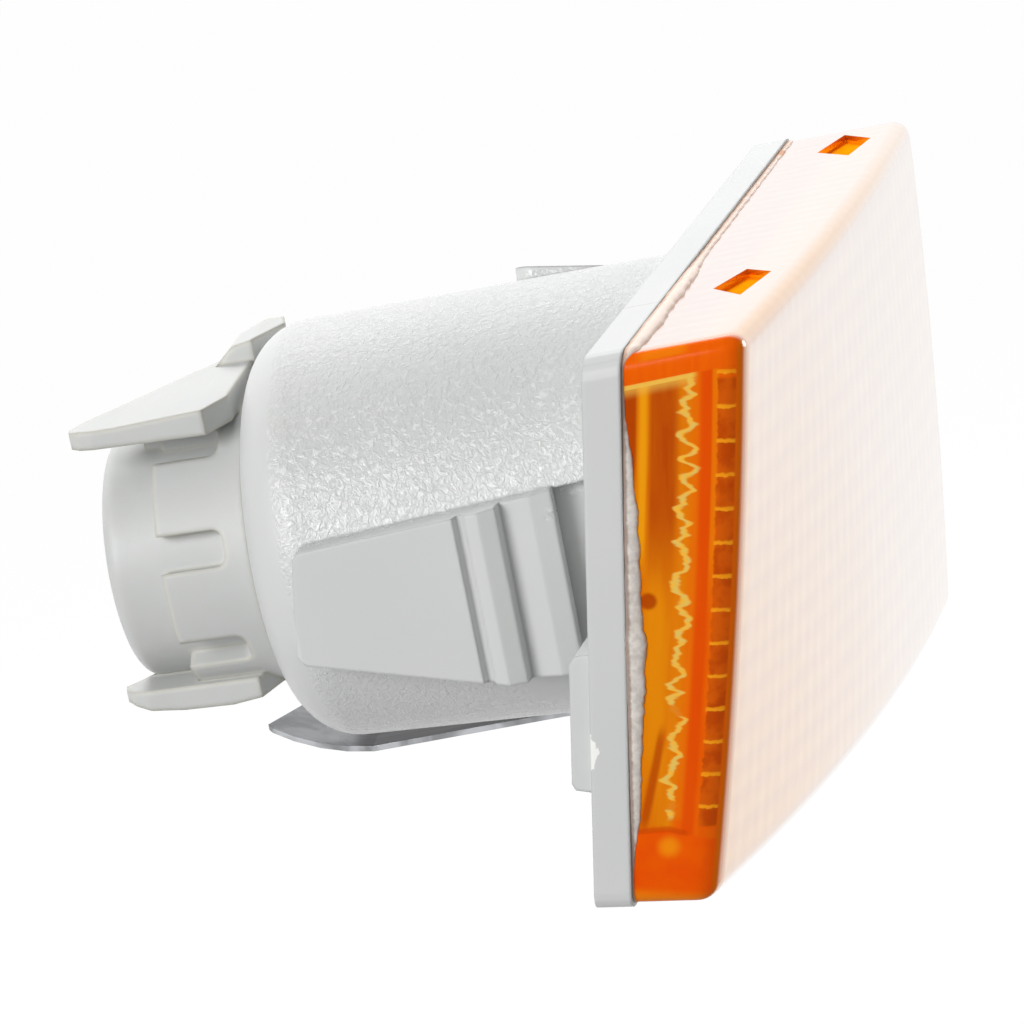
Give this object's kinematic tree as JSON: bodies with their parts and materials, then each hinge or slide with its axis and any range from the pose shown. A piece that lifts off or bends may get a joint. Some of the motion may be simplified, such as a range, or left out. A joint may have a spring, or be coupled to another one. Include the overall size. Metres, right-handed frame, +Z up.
{
  "type": "side marker lamp",
  "caption": "Vehicle side marker lamp: amber ribbed lens welded to a slanted plate, round grey body with a snap tongue and a spring leaf, and a twist-lock bulb holder.",
  "frame": {"origin": "on the axis of the round body, where it meets the plane of the plate's back", "axes": "+Y along the round body towards the bulb holder at the rear, -Y towards the lens, +Z up, +X to the lamp's right seen from behind the lens"},
  "size_m": [0.0676, 0.0677, 0.0445],
  "materials": {
    "housing_plastic": "light grey moulded plastic, fine spark-eroded grain on the body, smooth plate and tongue",
    "amber_lens": "glossy amber acrylic, smooth outside and ribbed inside",
    "melt": "uneven squeezed-out plastic",
    "spring_steel": "bright spring steel strip",
    "holder_plastic": "light warm grey moulded plastic",
    "seal_rubber": "plain black seal ring",
    "contact_brass": "bare stamped brass",
    "bulb_glass": "clear glass"
  },
  "bodies": {
    "lamp": {"housing": "housing_plastic", "lens": "amber_lens", "weld_bead": "melt", "spring_leaf": "spring_steel"},
    "holder": {"bulb_holder": "holder_plastic", "holder_seal": "seal_rubber", "terminal_upper": "contact_brass", "terminal_lower": "contact_brass", "bulb": "bulb_glass"}
  },
  "joints": [
    {"name": "holder_turn", "type": "hinge", "parent": "lamp", "child": "holder", "pos_m": [0, 0.033, 0], "axis": [0, 1, 0], "range_deg": [0, 45]}
  ]
}
